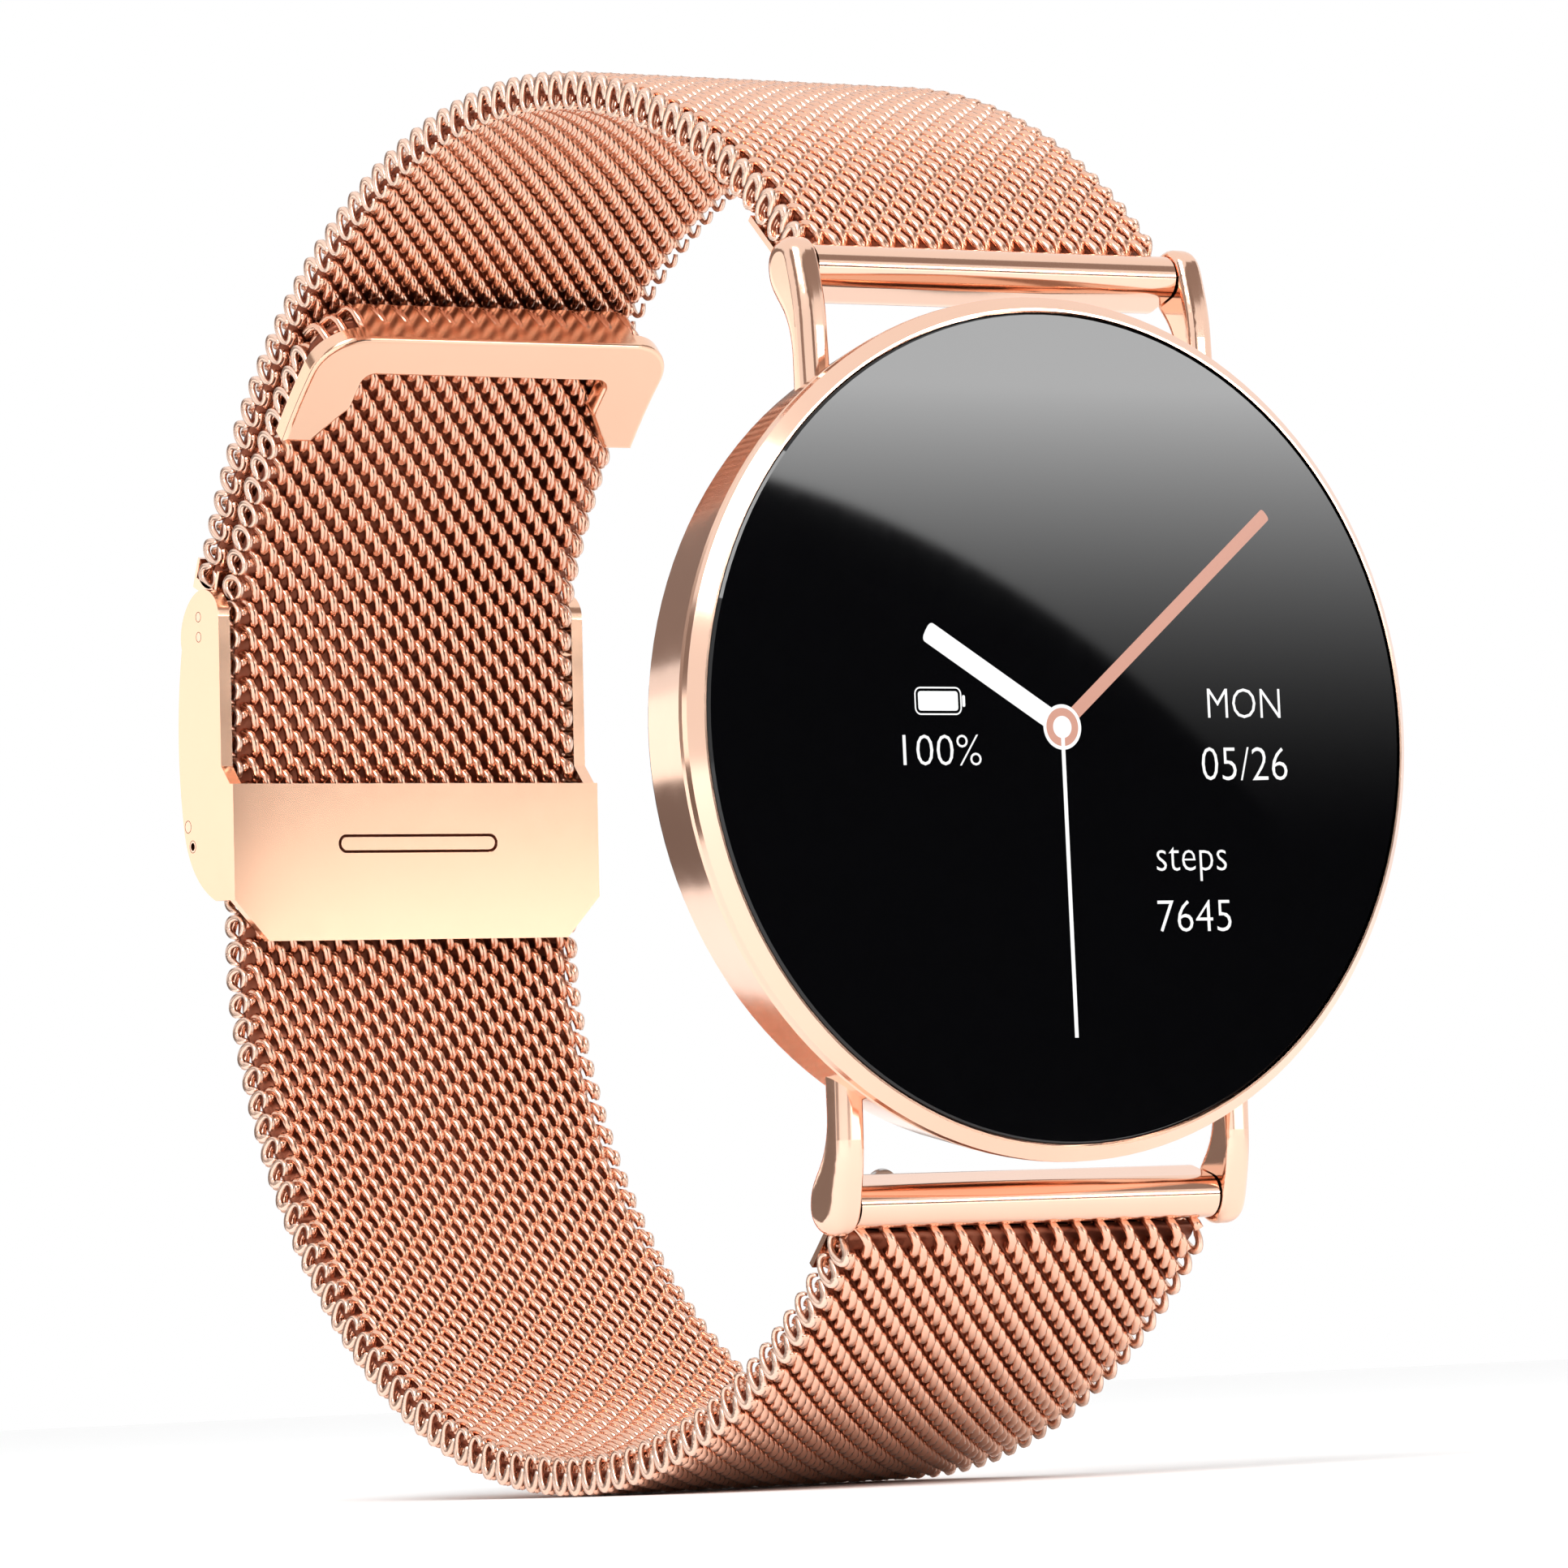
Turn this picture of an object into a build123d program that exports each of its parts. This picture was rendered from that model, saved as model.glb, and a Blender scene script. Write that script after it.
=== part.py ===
"""Smartwatch with a round head and a woven-wire strap that closes with a sliding clasp.

Frame: the dial faces -Y, +Z is 12 o'clock and +X is 3 o'clock. The origin is the centre of the
case back's flat face, and the strap's loop reaches out to +Y. Millimetres.
"""
import math
import os

from build123d import *

os.makedirs("parts", exist_ok=True)

# ---- driving dimensions -------------------------------------------------------------------
strap_width = 19.4  # across the mesh
strap_thick = 1.9
head_thick = 6.2  # case back face to glass
glass_radius = 18.7
bezel_rim = 0.7  # bezel beyond the glass
lug_width = 1.45
lug_tip = 1.3  # radius of the lug's rounded tip, centred on the spring bar
bar_y = -1.95  # spring-bar axis
bar_rise = 2.3  # spring bar above the glass edge
upper_radius = 33.9  # bend of the upper strap
upper_sweep = 108.9
lower_radius_a = 33.6  # bends of the lower strap, from the lug to the clasp
lower_radius_b = 30.0
tail_radius = 31.5
clasp_length = 15.5
clasp_depth = 5.45
cover_top = 4.8

# ---- fits ---------------------------------------------------------------------------------
run_fit = 0.05  # radial, pins that turn or slide
seat_gap = 0.04  # parts that sit in a recess
side_gap = 0.2  # strap to clasp cheek
tube_gap = 0.1  # end tube to lug, each side
flex_gap = 0.15  # between the two halves of a flexing place
button_gap = 0.08

# ---- derived ------------------------------------------------------------------------------
half_width = strap_width / 2
half_thick = strap_thick / 2
lug_gap = strap_width + 2 * tube_gap
bezel_radius = glass_radius + bezel_rim
case_front_radius = bezel_radius - 0.05
case_back_radius = case_front_radius - 0.75
bar_z = glass_radius + bar_rise
lug_inner = lug_gap / 2
tube_half = lug_inner - tube_gap
back_thick = 0.85
glass_thick = 1.0
glass_back = -head_thick + glass_thick
case_front = glass_back + 0.02
cavity_radius = glass_radius - 1.5
cheek_thick = 0.65
cheek_inner = half_width + side_gap


def save(part, node):
    part.label = node
    export_step(part, f"parts/{node}.step")


def disc(radius, front, back, x=0.0, z=0.0):
    """A round plate square to Y between two depths."""
    place = Pos(x, (front + back) / 2, z) * Rot(90, 0, 0)
    return place * Cylinder(radius, abs(back - front), mode=Mode.PRIVATE)


def rod(radius, x_from, x_to, y, z):
    """A round bar along X."""
    place = Pos((x_from + x_to) / 2, y, z) * Rot(0, 90, 0)
    return place * Cylinder(radius, abs(x_to - x_from), mode=Mode.PRIVATE)


def box_at(x, y, z):
    """A block from three (low, high) pairs."""
    centre = Pos((x[0] + x[1]) / 2, (y[0] + y[1]) / 2, (z[0] + z[1]) / 2)
    return centre * Box(x[1] - x[0], y[1] - y[0], z[1] - z[0], mode=Mode.PRIVATE)


# ---- head: case middle with its lugs ---------------------------------------------------------
screw_ring = cavity_radius - 1.8
screw_radius = 0.5
screw_head = 1.1
screw_turns = (45, 135, 225, 315)
screw_spots = [
    (screw_ring * math.cos(math.radians(a)), screw_ring * math.sin(math.radians(a)))
    for a in screw_turns
]
gasket_in = cavity_radius + 0.25
gasket_out = cavity_radius + 0.8
gasket_deep = 0.4
back_inner = -back_thick
button_half = 3.0
button_radius = 0.9
button_y = glass_back + 2.15
button_out = case_front_radius + 0.7
button_travel = 0.5
button_flange = cavity_radius - 0.65  # inner face of the button's keeper
switch_front = button_flange - button_travel - 0.05  # the keeper meets the switch at full travel
tip_radius = 0.36
tip_reach = 0.9  # how far a bar tip goes into its lug
lug_soft_out = 0.7  # rounding of a lug's front edges, outside and inside
lug_soft_in = 0.4


def button_shape(grow, x_from, x_to):
    with BuildPart() as body:
        with BuildSketch(Plane.YZ.offset(x_from)):
            with Locations((button_y, 0)):
                SlotOverall(2 * button_half + 2 * grow, 2 * button_radius + 2 * grow, rotation=90)
        extrude(amount=x_to - x_from)
    return body.part


def lug(side, end):
    """One lug: a slim horn, round in front, whose tip curls over the spring bar."""
    root = case_front_radius - 4.95
    with BuildPart() as body:
        with BuildSketch(Plane.YZ.offset(lug_inner)):
            with BuildLine():
                crown = (bar_y, bar_z + lug_tip)
                chest = (bar_y - lug_tip - 0.5, bar_z - 2.9)
                nape = (bar_y + lug_tip, bar_z)
                front = Line((chest[0] - 0.1, root), chest)
                brow = Spline(chest, (bar_y - 1.38, bar_z - 0.2), crown, tangents=(front % 1, (1, 0)))
                curl = JernArc(brow @ 1, (1, 0), lug_tip, -90)
                neck = Spline(nape, (bar_y + 0.35, bar_z - 2.0), (bar_y - 0.35, bar_z - 4.2),
                              tangents=(curl % 1, (0, -1)))
                foot = Line(neck @ 1, (bar_y - 0.35, root))
                Line(foot @ 1, front @ 0)
            make_face()
        extrude(amount=lug_width)
        for face, size in ((-1, lug_soft_out), (0, lug_soft_in)):
            side_face = body.faces().filter_by(Axis.X).sort_by(Axis.X)[face]
            rim = side_face.edges().filter_by(
                lambda e: e.center().Y < bar_y - 0.6 and e.center().Z > root + 0.5)
            fillet(rim, size)
    shape = body.part
    if end < 0:
        shape = shape.mirror(Plane.XY)
    if side < 0:
        shape = shape.mirror(Plane.YZ)
    return shape


with BuildPart() as case_middle:
    with BuildSketch(Plane.XY):
        with BuildLine():
            Polyline(
                (cavity_radius, back_inner),
                (case_back_radius - 0.25, back_inner),
                (case_back_radius, back_inner - 0.25),
                (case_front_radius, case_front + 0.35),
                (case_front_radius - 0.2, case_front),
                (cavity_radius, case_front),
                close=True,
            )
        make_face()
    revolve(axis=Axis.Y)
    for side in (-1, 1):
        for end in (-1, 1):
            add(lug(side, end))
    add(disc(cavity_radius + 0.05, back_inner - 0.001, case_front), mode=Mode.SUBTRACT)
    for x, z in screw_spots:
        add(disc(1.9, back_inner, back_inner - 2.2, x, z))
        add(disc(screw_radius, back_inner + 0.1, back_inner - 1.8, x, z), mode=Mode.SUBTRACT)
    add(disc(gasket_out, back_inner + 0.1, back_inner - gasket_deep)
        - disc(gasket_in, back_inner + 0.2, back_inner - gasket_deep - 0.1), mode=Mode.SUBTRACT)
    add(button_shape(button_gap, cavity_radius - 2, button_out + 2), mode=Mode.SUBTRACT)
    for side in (-1, 1):
        for end in (-1, 1):
            hole = (lug_inner - 0.2, lug_inner + tip_reach + 0.1)
            add(rod(tip_radius + run_fit, side * hole[0], side * hole[1], bar_y, end * bar_z),
                mode=Mode.SUBTRACT)
save(case_middle.part, "case_middle")

with BuildPart() as bezel_ring:
    with BuildSketch(Plane.XY):
        with BuildLine():
            Polyline(
                (glass_radius + seat_gap, case_front),
                (bezel_radius, case_front),
                (bezel_radius, case_front - 0.4),
                (glass_radius + 0.14, -head_thick + 0.06),
                (glass_radius + seat_gap, -head_thick + 0.06),
                close=True,
            )
        make_face()
    revolve(axis=Axis.Y)
save(bezel_ring.part, "bezel_ring")

with BuildPart() as cover_glass:
    add(disc(glass_radius, -head_thick, glass_back))
    chamfer(cover_glass.edges().sort_by(Axis.Y)[0], 0.12)
save(cover_glass.part, "cover_glass")

display_radius = cavity_radius - 0.3
with BuildPart() as display_panel:
    add(disc(display_radius, glass_back, glass_back + 1.0))
    add(box_at((-2.5, 2.5), (glass_back + 0.3, glass_back + 0.9),
               (-display_radius - 0.1, -display_radius + 1)))
save(display_panel.part, "display_panel")

with BuildPart() as glass_seal:
    add(disc(cavity_radius - 0.03, glass_back, glass_back + 0.25))
    add(disc(display_radius + 0.03, glass_back - 0.1, glass_back + 0.4), mode=Mode.SUBTRACT)
    add(box_at((-3.1, 3.1), (glass_back - 0.1, glass_back + 0.4), (-18, -15)), mode=Mode.SUBTRACT)
save(glass_seal.part, "glass_seal")

board_front = glass_back + 1.1
board_back = board_front + 0.5
chips = ((-4.5, 10.2, 6, 2.6), (5.5, 10.4, 4, 2.2), (-10.9, 2, 1.8, 6), (-6.5, -10, 5, 2.2))
with BuildPart() as main_board:
    add(disc(screw_ring - 2.1, board_front, board_back))
    for x, z, w, h in chips:
        add(box_at((x - w / 2, x + w / 2), (board_back, board_back + 0.9), (z - h / 2, z + h / 2)))
save(main_board.part, "main_board")

battery_radius = 8.6
with BuildPart() as battery:
    add(disc(battery_radius, board_back + 0.05, back_inner - 0.8))
    fillet(battery.edges().filter_by(GeomType.CIRCLE), 0.3)
save(battery.part, "battery")

with BuildPart() as vibration_motor:
    add(disc(2.7, board_back + 0.05, back_inner - 0.85, 11.0, -5.2))
    chamfer(vibration_motor.edges().sort_by(Axis.Y)[-1], 0.25)
save(vibration_motor.part, "vibration_motor")

with BuildPart() as button_switch:
    add(box_at((switch_front - 1.9, switch_front - 0.3), (button_y - 0.8, button_y + 0.8), (-2, 2)))
    add(box_at((switch_front - 0.3, switch_front), (button_y - 0.5, button_y + 0.5), (-1, 1)))
save(button_switch.part, "button_switch")

window_radius = 8.5
with BuildPart() as sensor_window:
    add(disc(window_radius, back_inner + 0.1, 0))
    chamfer(sensor_window.edges().sort_by(Axis.Y)[-1], 0.1)
save(sensor_window.part, "sensor_window")

with BuildPart() as sensor_board:
    add(disc(7.4, back_inner - 0.35, back_inner - 0.02))
    for x, z in ((0, 0), (-3.6, 0), (3.6, 0), (0, 3.6), (0, -3.6)):
        add(box_at((x - 0.8, x + 0.8), (back_inner - 0.02, back_inner + 0.09), (z - 0.8, z + 0.8)))
save(sensor_board.part, "sensor_board")

contact_spots = ((-2.6, -12.4), (2.6, -12.4))
contact_radius = 1.2
with BuildPart() as case_back:
    add(disc(case_back_radius - 0.45, back_inner, 0))
    chamfer(case_back.edges().sort_by(Axis.Y)[-1], 0.35)
    add(disc(window_radius + seat_gap, back_inner - 0.1, 0.1), mode=Mode.SUBTRACT)
    for x, z in contact_spots:
        add(disc(contact_radius + seat_gap, back_inner - 0.1, 0.1, x, z), mode=Mode.SUBTRACT)
    for x, z in screw_spots:
        add(disc(screw_radius + 0.1, back_inner - 0.1, 0.1, x, z), mode=Mode.SUBTRACT)
        add(disc(screw_head + 0.05, -0.45, 0.1, x, z), mode=Mode.SUBTRACT)
save(case_back.part, "case_back")

with BuildPart() as back_gasket:
    add(disc(gasket_out - seat_gap, back_inner, back_inner - gasket_deep + 0.02))
    add(disc(gasket_in + seat_gap, back_inner + 0.1, back_inner - gasket_deep - 0.1), mode=Mode.SUBTRACT)
save(back_gasket.part, "back_gasket")

with BuildPart() as charging_contacts:
    for x, z in contact_spots:
        add(disc(contact_radius, back_inner - 0.3, -0.05, x, z))
save(charging_contacts.part, "charging_contacts")

with BuildPart() as case_screws:
    for x, z in screw_spots:
        add(disc(screw_head, -0.43, -0.05, x, z))
        add(disc(screw_radius - 0.03, back_inner - 1.6, -0.4, x, z))
        add(box_at((x - 0.8, x + 0.8), (-0.2, 0), (z - 0.12, z + 0.12)), mode=Mode.SUBTRACT)
        add(box_at((x - 0.12, x + 0.12), (-0.2, 0), (z - 0.8, z + 0.8)), mode=Mode.SUBTRACT)
save(case_screws.part, "case_screws")

with BuildPart() as side_button:
    add(button_shape(0, cavity_radius + 0.5, button_out))
    chamfer(side_button.faces().sort_by(Axis.X)[-1].edges(), 0.25)
    add(box_at((button_flange, button_flange + 0.4), (button_y - 0.6, button_y + 0.6), (-2.2, 2.2)))
    add(box_at((button_flange + 0.35, cavity_radius + 0.6), (button_y - 0.5, button_y + 0.5), (-2, 2)))
save(side_button.part, "side_button")

# ---- strap paths, on the plane X = 0 ---------------------------------------------------------
upper_start = (bar_y + 2.2, bar_z + 2.06)
upper_heading = 43.25
lower_start = (bar_y + 1.02, -bar_z - 1.64)
lower_heading = -45.2
upper_split = (0.255, 0.625)  # where the upper strap flexes, as parts of its length
lower_split_a = 0.5
lower_split_b = 0.36
straight_length = 15.35


def direction(angle):
    return (math.cos(math.radians(angle)), math.sin(math.radians(angle)))


def arc_step(start, tangent, radius, sweep):
    edge = JernArc(start, tangent, radius, sweep)
    return edge, edge @ 1, edge % 1


def bend(start, tangent, radius, sweeps):
    """Arcs of one radius that follow each other, as a list of edges."""
    edges = []
    for sweep in sweeps:
        edge, start, tangent = arc_step(start, tangent, radius, sweep)
        edges.append(edge)
    return edges


def mesh_band(edges, barrel=None, socket=None, cuts=()):
    """A strap length: a flat band along the edges, with a round end that sits in the one before."""
    with BuildPart() as band:
        with BuildSketch(Plane.YZ.offset(-half_width)):
            with BuildLine():
                for edge in edges:
                    add(edge)
            trace(line_width=strap_thick)
        extrude(amount=strap_width)
        if barrel is not None:
            add(rod(half_thick, -half_width, half_width, barrel.X, barrel.Y))
        if socket is not None:
            reach = half_width + 1
            add(rod(half_thick + flex_gap, -reach, reach, socket.X, socket.Y), mode=Mode.SUBTRACT)
        for cut in cuts:
            add(cut, mode=Mode.SUBTRACT)
    return band.part


s1, s2 = upper_split
upper_cuts = [-upper_sweep * s1, -upper_sweep * (s2 - s1), -upper_sweep * (1 - s2)]
upper_edges = bend(upper_start, direction(upper_heading), upper_radius, upper_cuts)
upper_lead = Line(upper_start, Vector(*upper_start) - 2.6 * Vector(*direction(upper_heading)))

sweep_a = 55.25
sweep_b = 65.95
lower_edges_a = bend(lower_start, direction(lower_heading), lower_radius_a,
                     [sweep_a * lower_split_a, sweep_a * (1 - lower_split_a)])
lower_edges_b = bend(lower_edges_a[-1] @ 1, lower_edges_a[-1] % 1, lower_radius_b,
                     [sweep_b * lower_split_b, sweep_b * (1 - lower_split_b)])
entry_edge = JernArc(lower_edges_b[-1] @ 1, lower_edges_b[-1] % 1, 12, 16.5)
straight_edge = Line(entry_edge @ 1, entry_edge @ 1 + straight_length * (entry_edge % 1))
exit_edge = JernArc(straight_edge @ 1, straight_edge % 1, 10, 24.5)
tail_edge = JernArc(exit_edge @ 1, exit_edge % 1, tail_radius, 27)
lower_lead = Line(lower_start, Vector(*lower_start) - 1.5 * Vector(*direction(lower_heading)))

# ---- strap ends at the lugs ------------------------------------------------------------------
rear_y = bar_y + 1.35
rear_z = bar_z - 0.3
front_lobe = 1.0
rear_lobe = 1.15
bar_radius = 0.5
knob_x = -6.4
knob_travel = 1.2
tab_thick = 0.3
tab_gap = 0.13
knob_turn = 68  # the knob leans this far from the case centre towards the wrist
neck_length = 2.75


def tube_body(grow=0.0, half=tube_half):
    with BuildPart() as body:
        with BuildSketch(Plane.YZ.offset(-half)):
            with Locations((bar_y, bar_z)):
                Circle(front_lobe + grow)
            with Locations((rear_y, rear_z)):
                Circle(rear_lobe + grow)
            make_hull()
        extrude(amount=2 * half)
    return body.part


def tab(heading, start):
    """The thin plate on the wrist side that the first rows of wire are fixed to."""
    along = Vector(*direction(heading))
    inward = Vector(*direction(heading - 90))
    middle = Vector(*start) + (half_thick + tab_gap + tab_thick / 2) * inward
    line = Line(middle - 1.6 * along, middle + 2.4 * along)
    with BuildPart() as body:
        with BuildSketch(Plane.YZ.offset(-half_width + 0.1)):
            with BuildLine():
                add(line)
            trace(line_width=tab_thick)
        extrude(amount=strap_width - 0.2)
    return body.part


def knob_slot():
    """Room for the knob's neck, from rest to fully pulled back."""
    neck = 0.42
    place = Pos(knob_x + knob_travel / 2, bar_y, bar_z) * Rot(knob_turn, 0, 0)
    block = Pos(0, 0, -neck_length / 2) * Box(knob_travel + 2 * neck, 2 * neck, neck_length + 0.4)
    return place * block


def strap_end_side(shape, flip):
    """The two strap ends are one assembly: the lower has its knob at -X, the upper at +X."""
    return shape.mirror(Plane.XY) if flip else shape.mirror(Plane.YZ)


def end_tube(flip, heading, start):
    body = tube_body() + tab(heading, start)
    body = body - rod(bar_radius + run_fit, -12, 12, bar_y, bar_z) - knob_slot()
    return strap_end_side(body, flip)


def spring_bar(flip):
    bar = (rod(bar_radius, -4.2, tube_half - 0.3, bar_y, bar_z)
           + rod(tip_radius, tube_half - 0.4, lug_inner + tip_reach, bar_y, bar_z))
    return strap_end_side(bar, flip)


def release_pin(flip):
    """The bar's moving tip with its thumb knob."""
    pin = (rod(bar_radius, -tube_half + 0.3, knob_x + 0.5, bar_y, bar_z)
           + rod(tip_radius, -lug_inner - tip_reach, -tube_half + 0.4, bar_y, bar_z))
    place = Pos(knob_x, bar_y, bar_z) * Rot(knob_turn, 0, 0)
    neck = place * Pos(0, 0, -neck_length / 2) * Cylinder(0.34, neck_length)
    with BuildPart() as head:
        with Locations((0, 0, -neck_length)):
            Cylinder(0.75, 0.4)
        fillet(head.faces().sort_by(Axis.Z)[0].edges(), 0.25)
    pin = pin + neck + place * head.part
    return strap_end_side(pin, flip)


flipped_start = (lower_start[0], -lower_start[1])
for flip, name, heading, start in ((False, "upper", upper_heading, upper_start),
                                   (True, "lower", -lower_heading, flipped_start)):
    save(end_tube(flip, heading, start), f"{name}_end_tube")
    save(spring_bar(flip), f"{name}_spring_bar")
    save(release_pin(flip), f"{name}_release_pin")

# ---- mesh lengths ----------------------------------------------------------------------------
upper_tube = tube_body(0.03, 12)
lower_tube = tube_body(0.03, 12).mirror(Plane.XY)
save(mesh_band([upper_lead, upper_edges[0]], socket=upper_edges[0] @ 1, cuts=[upper_tube]), "upper_mesh_1")
save(mesh_band([upper_edges[1]], barrel=upper_edges[1] @ 0, socket=upper_edges[1] @ 1), "upper_mesh_2")
save(mesh_band([upper_edges[2]], barrel=upper_edges[2] @ 0), "upper_mesh_3")

save(mesh_band([lower_lead, lower_edges_a[0]], socket=lower_edges_a[0] @ 1, cuts=[lower_tube]),
     "lower_mesh_1")
save(mesh_band([lower_edges_a[1], lower_edges_b[0]], barrel=lower_edges_a[1] @ 0,
               socket=lower_edges_b[0] @ 1), "lower_mesh_2")
save(mesh_band([lower_edges_b[1]], barrel=lower_edges_b[1] @ 0, socket=lower_edges_b[1] @ 1),
     "lower_mesh_3")
save(mesh_band([entry_edge, straight_edge, exit_edge], barrel=entry_edge @ 0, socket=exit_edge @ 1),
     "lower_mesh_4")
save(mesh_band([tail_edge], barrel=tail_edge @ 0), "lower_mesh_5")

# ---- tail end cap ----------------------------------------------------------------------------
cap_length = 6.8
cap_plate = 0.9
cap_corner = 2.4
cap_arm = 3.1
cap_top = 2.3
cap_sweep = math.degrees(cap_length / tail_radius)
tail_end = tail_edge @ 1
tail_centre = tail_edge.arc_center


def tail_band(radius, skin, width, sweep_from, sweep_to):
    """A plate that follows the tail's bend at its own radius, between two sweeps from the end."""
    outward = (tail_end - tail_centre).normalized()
    first = outward.rotate(Axis.Z, -sweep_from)
    arc = JernArc(tail_centre + radius * first, first.rotate(Axis.Z, -90), radius,
                  -(sweep_to - sweep_from))
    with BuildPart() as body:
        with BuildSketch(Plane.YZ.offset(-width / 2)):
            with BuildLine():
                add(arc)
            trace(line_width=skin)
        extrude(amount=width)
    return body.part


cap_half = half_width + 0.35
cap_inner = tail_radius - half_thick - 0.02 - cap_plate
cap_middle = (tail_end - tail_centre).normalized().rotate(Axis.Z, -cap_sweep / 2)
cap_spot = tail_centre + (tail_radius - half_thick) * cap_middle
cap_plane = Plane(origin=(0, cap_spot.X, cap_spot.Y), x_dir=(1, 0, 0), z_dir=(0, cap_middle.X, cap_middle.Y))
cap_end = cap_length / 2 - 0.1
cap_window = cap_half - cap_arm
with BuildPart() as strap_tip:
    with BuildSketch(cap_plane):
        with BuildLine():
            Polyline(
                (-cap_half, cap_end),
                (-cap_half, -cap_end - 0.2),
                (cap_half, -cap_end - 0.2),
                (cap_half, cap_end),
                (cap_half - 1.6, cap_end),
                (cap_window, cap_end - 2.1),
                (cap_window, cap_top - cap_end),
                (-cap_window, cap_top - cap_end),
                (-cap_window, cap_end - 2.1),
                (-cap_half + 1.6, cap_end),
                close=True,
            )
        outline = make_face()
        fillet(outline.vertices().group_by(Axis.Y)[0], cap_corner)
    extrude(amount=4, both=True)
    upright = strap_tip.edges().filter_by(Axis(cap_plane.origin, cap_plane.z_dir))
    fillet([e for e in upright if abs(abs(e.center().X) - cap_window) < 0.05], 0.6)
    plate = tail_band(cap_inner + cap_plate / 2, cap_plate, 2 * cap_half + 2, -1.5, cap_sweep + 2)
    lip = tail_band(tail_radius, strap_thick + 0.2, 2 * (cap_half - cap_corner), -0.75, -0.04)
    add(plate + lip, mode=Mode.INTERSECT)
    large_faces = strap_tip.faces().filter_by(GeomType.CYLINDER).sort_by(SortBy.AREA)[-2:]
    wrist_face = large_faces.sort_by_distance((0, tail_centre.X, tail_centre.Y))[0]
    fillet(wrist_face.edges(), 0.22)
save(strap_tip.part, "strap_tip")

# ---- clasp, drawn in its own plane: local x points away from the wrist, local y up the strap ----
clasp_mid = straight_edge @ 0 + 10.3 * (straight_edge % 0)
clasp_up = straight_edge % 0
clasp_lean = math.degrees(math.atan2(clasp_up.Y, clasp_up.X)) - 90


def clasp_plane(x):
    """Plane square to X whose local axes are the clasp's outward and up directions."""
    out = (0, math.cos(math.radians(clasp_lean)), math.sin(math.radians(clasp_lean)))
    return Plane(origin=(x, clasp_mid.X, clasp_mid.Y), x_dir=out, z_dir=(1, 0, 0))


def clasp_rod(radius, x_from, x_to, n, u):
    with BuildPart() as body:
        with BuildSketch(clasp_plane(x_from)):
            with Locations((n, u)):
                Circle(radius)
        extrude(amount=x_to - x_from)
    return body.part


plate_gap = 0.3
plate_thick = 0.5
plate_in = -(half_thick + plate_gap + plate_thick)
edge_in = -0.6
outer_n = clasp_depth + plate_in
top_u = clasp_length / 2 + 0.2
foot_u = -clasp_length / 2 + 0.2
plate_top = -1.8
plate_foot = -9.6
hinge_n = outer_n - 0.8
hinge_u = -3.8
stop_n = outer_n - 1.25
stop_u = -4.8
pin_radius = 0.3
barrel_radius = 0.62
hook_bar_n = half_thick + 0.5
hook_bar_u = 6.1
hook_bar_thick = 0.6
hook_bar_tall = 1.8
tenon_radius = 0.24
stamp_u = -4.8  # the stamped oblong in the plate
stamp_long = 9.2
stamp_tall = 0.95
stamp_line = 0.16
tenon_u = (hook_bar_u - 0.5, hook_bar_u + 0.5)


def cheek(x_from):
    with BuildPart() as body:
        with BuildSketch(clasp_plane(x_from)):
            with BuildLine():
                inner = Line((edge_in, plate_top + 0.9), (edge_in, top_u - 1.4))
                Spline((edge_in, top_u - 1.4), (edge_in + 0.4, top_u - 0.45), (edge_in + 1.5, top_u),
                       (outer_n - 1.2, top_u - 0.7), (outer_n - 0.5, top_u - 2.9))
                ThreePointArc((outer_n - 0.5, top_u - 2.9), (outer_n, 0.6), (outer_n - 0.45, -4.2))
                bow = Spline((outer_n - 0.45, -4.2), (outer_n - 1.3, -6.0), (0.2, foot_u))
                Polyline(bow @ 1, (plate_in, foot_u), (plate_in, plate_top),
                         (plate_in + 0.3, plate_top), inner @ 0)
            make_face()
        extrude(amount=cheek_thick)
    return body.part


plate_half = cheek_inner + cheek_thick
with BuildPart() as clasp_frame:
    for x_from in (-plate_half, cheek_inner):
        add(cheek(x_from))
    with BuildSketch(clasp_plane(-plate_half)):
        with Locations((plate_in + plate_thick / 2, (plate_top + foot_u) / 2)):
            Rectangle(plate_thick, plate_top - foot_u)
    extrude(amount=2 * plate_half)
    lower_face = Plane(origin=clasp_plane(0).from_local_coords((plate_in, foot_u, 0)), x_dir=(1, 0, 0),
                       z_dir=clasp_plane(0).x_dir)
    with BuildSketch(lower_face):
        with BuildLine():
            Polyline((-plate_half, 0), (-plate_half + 1.9, foot_u - plate_foot),
                     (plate_half - 1.9, foot_u - plate_foot), (plate_half, 0), close=True)
        make_face()
    extrude(amount=plate_thick)
    with BuildSketch(lower_face):
        with Locations((0, foot_u - stamp_u)):
            SlotOverall(stamp_long, stamp_tall)
            SlotOverall(stamp_long - 2 * stamp_line, stamp_tall - 2 * stamp_line, mode=Mode.SUBTRACT)
    extrude(amount=0.14, mode=Mode.SUBTRACT)
    with BuildSketch(clasp_plane(-cheek_inner - 0.1)):
        with Locations((outer_n - 1.75, -6.3)):
            Rectangle(0.6, 1.7, rotation=-24)
    extrude(amount=2 * cheek_inner + 0.2)
    for n, u, radius in ((hinge_n, hinge_u, pin_radius), (stop_n, stop_u, pin_radius),
                         (hook_bar_n, tenon_u[0], tenon_radius), (hook_bar_n, tenon_u[1], tenon_radius)):
        add(clasp_rod(radius + 0.01, -plate_half - 1, plate_half + 1, n, u), mode=Mode.SUBTRACT)
save(clasp_frame.part, "clasp_frame")

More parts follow.
